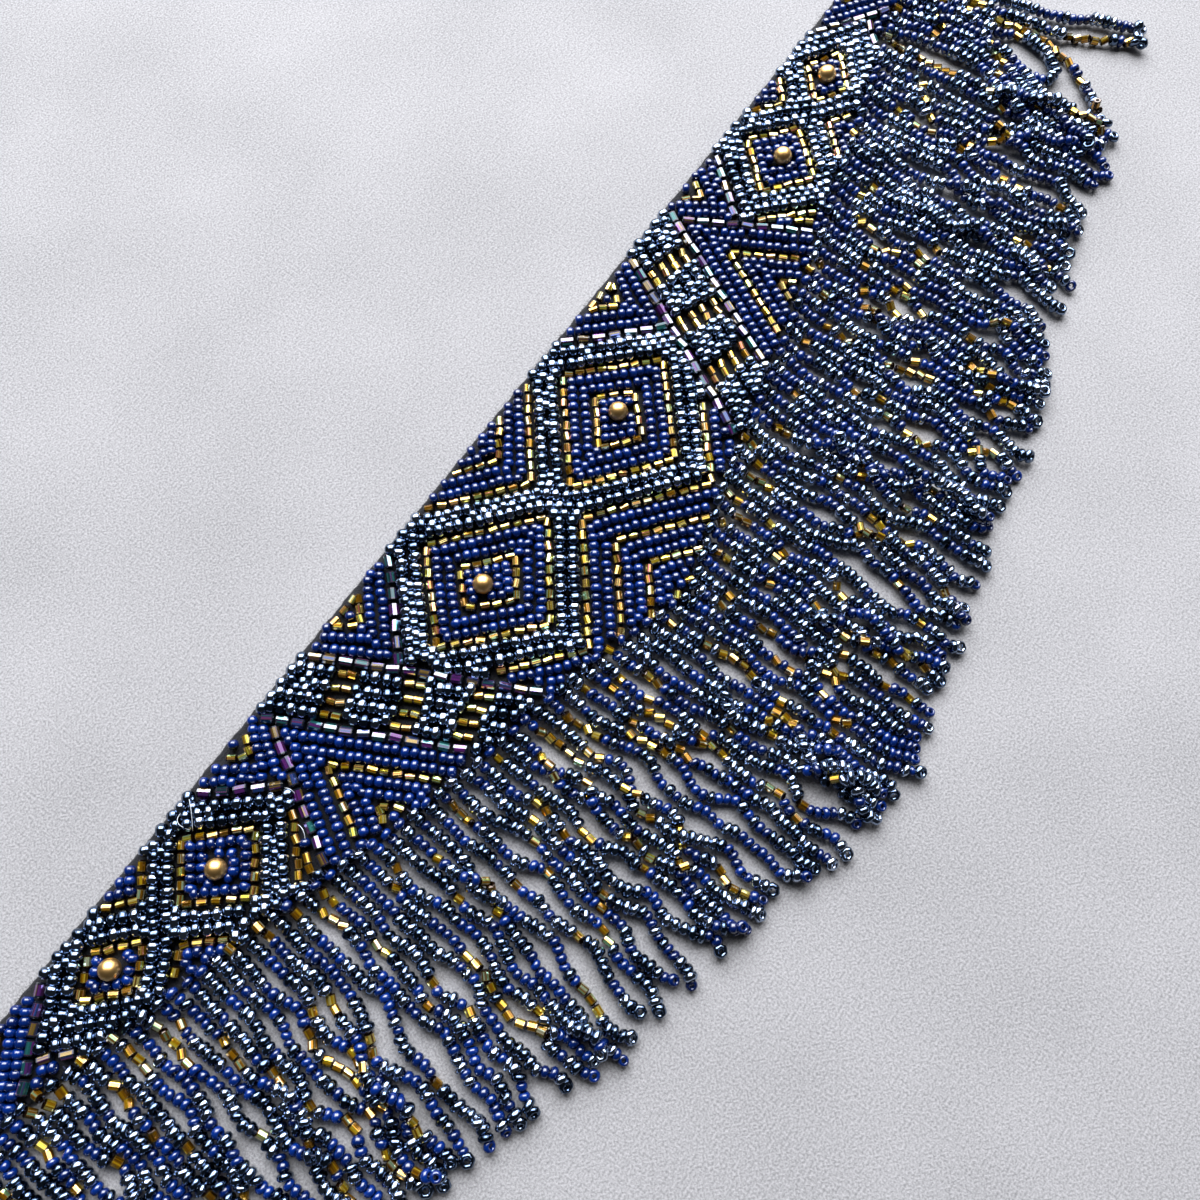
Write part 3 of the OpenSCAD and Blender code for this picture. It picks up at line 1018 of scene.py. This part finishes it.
blue_glass = bead_finish("blue_glass", BLUE_TONES, metallic=0.0, roughness=0.06, bump=0.06)
gunmetal_glass = bead_finish("gunmetal_glass", GUNMETAL_TONES, metallic=1.0, roughness=0.085, bump=0.2)
gold_glass = bead_finish("gold_glass", GOLD_TONES, metallic=0.8, roughness=0.12, coat=0.3, tubes=True)
iris_glass = bead_finish("iris_glass", IRIS_TONES, metallic=0.7, roughness=0.13, coat=0.7, tubes=True)
navy_thread = thread_finish(
    "navy_thread", dark=(0.004, 0.005, 0.015), light=(0.014, 0.018, 0.05), roughness=0.6, gloss=0.5
)
clear_thread = thread_finish(
    "clear_thread", dark=(0.24, 0.26, 0.3), light=(0.4, 0.42, 0.46), roughness=0.2, gloss=1.0
)
gold_metal = metal_finish("gold_metal", (0.78, 0.46, 0.16), roughness=0.36)
clasp_metal = metal_finish("clasp_metal", (0.34, 0.26, 0.14), roughness=0.3)

# The camera at the photograph's place over the band
camera_data = bpy.data.cameras.new("camera")
camera_data.lens = 31.45
camera_data.sensor_width = 36
camera = bpy.data.objects.new("camera", camera_data)
camera.location = (-0.056026, -0.045705, 0.200115)
camera.rotation_euler = (math.radians(15.479), 0, math.radians(-54.142))
bpy.context.scene.collection.objects.link(camera)
bpy.context.scene.camera = camera


def own(piece, slot, *nodes):
    """Lets a piece ride with the choker and stand for the nodes. The slot is not used."""
    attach(piece, "root")
    if nodes:
        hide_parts(*nodes)


gold, iris, slanted = sew_tubes()
seeds = sew_seeds(gold, iris, slanted)
SEEDS = {
    "blue": (
        BLUE_PROFILE, BLUE_SECTION, BLUE_WIDTH, BLUE_LENGTH, STRING_BLUE_WIDTH, blue_glass, "blue_glass",
    ),
    "gunmetal": (
        GUNMETAL_PROFILE, GUNMETAL_SECTION, GUNMETAL_WIDTH, GUNMETAL_LENGTH, STRING_GUNMETAL_WIDTH,
        gunmetal_glass, "gunmetal_glass",
    ),
}
for kind, (profile, section, width, length, _, finish, slot) in SEEDS.items():
    places, ahead = lie_on_felt(seeds[kind], width, sway=0.13)
    lengths = length * (1 + scatter(len(places), 0.05))
    beads = seed_beads(f"{kind}_beads", profile, section, places, ahead, width, lengths, finish)
    own(beads, slot, "bead_field")
places, ahead = lie_on_felt(gold, GOLD_SEAT, sway=0.12)
tubes = cut_tubes("gold_tubes", places, ahead, GOLD_WIDTH, GOLD_LENGTH, gold_glass)
own(tubes, "gold_glass", "tube_lines")
places, ahead = lie_on_felt(iris, IRIS_SEAT, sway=0.08)
tubes = cut_tubes("iris_tubes", places, ahead, IRIS_WIDTH, IRIS_LENGTH, iris_glass)
own(tubes, "iris_glass", "tube_lines")

kinds = string_kinds()
path, there, string_lengths, string_radii = hang_strands(kinds)
ahead, tilted = directions(path, there)
path = off_floor(path, tilted, string_lengths, string_radii)
for number, (kind, (profile, section, _, _, width, finish, slot)) in enumerate(SEEDS.items()):
    for half, on_half in (("left", path[:, :, 0] < 0), ("right", path[:, :, 0] >= 0)):
        chosen = there & (kinds == number) & on_half
        beads = seed_beads(
            f"fringe_{kind}_{half}", profile, section,
            path[chosen], tilted[chosen], width, string_lengths[chosen], finish, spread=0.05,
        )
        own(beads, slot, "fringe")
chosen = there & (kinds == 2)
tubes = cut_tubes(
    "fringe_gold", path[chosen], tilted[chosen], STRING_TUBE_WIDTH, STRING_TUBE, gold_glass,
    first_tone=0.4, last_tone=0.75,
)
own(tubes, "gold_glass", "fringe")
own(put_mesh("fringe_threads", *strand_threads(path, ahead, there), navy_thread), "thread", "fringe")
own(put_mesh("loose_ends", *loose_ends(), clear_thread), "thread")

felt_black = felt_finish()
felt = put_mesh("felt", *felt_cloth(), felt_black)
own(felt, "felt", "felt_band")
own(put_mesh("felt_hairs", *felt_hairs(FELT_HAIRS), felt_black), "felt", "felt_band")

METALS = {f"gold_ball_{number}": gold_metal for number in range(1, 7)}
METALS.update(clasp_hook=clasp_metal, clasp_eye=clasp_metal)
for name, finish in METALS.items():
    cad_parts[name].data.materials.clear()
    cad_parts[name].data.materials.append(finish)

corners = FLOOR_REACH * np.array([(-1, -1, 0), (1, -1, 0), (1, 1, 0), (-1, 1, 0)], float)
floor = put_mesh("floor", corners, [[0, 1, 2, 3]], floor_finish())


def soft_light(name, toward_light, distance, width, height, watts):
    """A soft rectangular light in that direction from the band, which it faces. Its width runs level."""
    data = bpy.data.lights.new(name, "AREA")
    data.shape = "RECTANGLE"
    data.size, data.size_y = width, height
    data.energy = watts
    data.color = (0.95, 0.975, 1)
    light = bpy.data.objects.new(name, data)
    direction = Vector(toward_light).normalized()
    light.location = direction * distance
    light.visible_camera = False
    light.rotation_mode = "QUATERNION"
    light.rotation_quaternion = direction.to_track_quat("Z", "Y")
    bpy.context.scene.collection.objects.link(light)


soft_light("window", WINDOW_WAY, distance=1.6, width=3.1, height=2.3, watts=70)
soft_light("pane", WINDOW_WAY, distance=1.55, width=1.75, height=1.3, watts=102)
world = bpy.data.worlds.new("world")
world.use_nodes = True
background = world.node_tree.nodes["Background"]
background.inputs["Color"].default_value = (0.85, 0.9, 1, 1)
background.inputs["Strength"].default_value = 0.04
bpy.context.scene.world = world
bpy.context.scene.view_settings.view_transform = "Standard"
